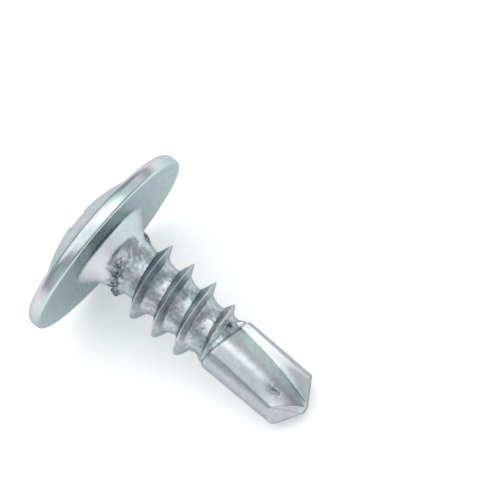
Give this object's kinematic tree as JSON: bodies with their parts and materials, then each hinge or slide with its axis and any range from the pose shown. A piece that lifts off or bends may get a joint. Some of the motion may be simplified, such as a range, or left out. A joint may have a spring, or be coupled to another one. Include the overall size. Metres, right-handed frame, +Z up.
{
  "type": "self drilling screw",
  "caption": "Self drilling screw with a wide low head, a cross recess, a coarse spaced thread and a fluted drill point.",
  "frame": {"origin": "on the floor, under the middle of the screw's bounding box, with the screw lying as it comes to rest", "axes": "+X runs along the floor from the head towards the drill point, +Z is up, and +Y completes the right-handed frame; the screw's own axis lies in the XZ plane and slopes down towards the point"},
  "size_m": [0.015, 0.011, 0.0105],
  "materials": {
    "zinc_plated_steel": "bright zinc plating over steel, slightly cloudy on the thread and in the flutes"
  },
  "bodies": {
    "root": {"self_drilling_screw": "zinc_plated_steel"}
  },
  "joints": []
}
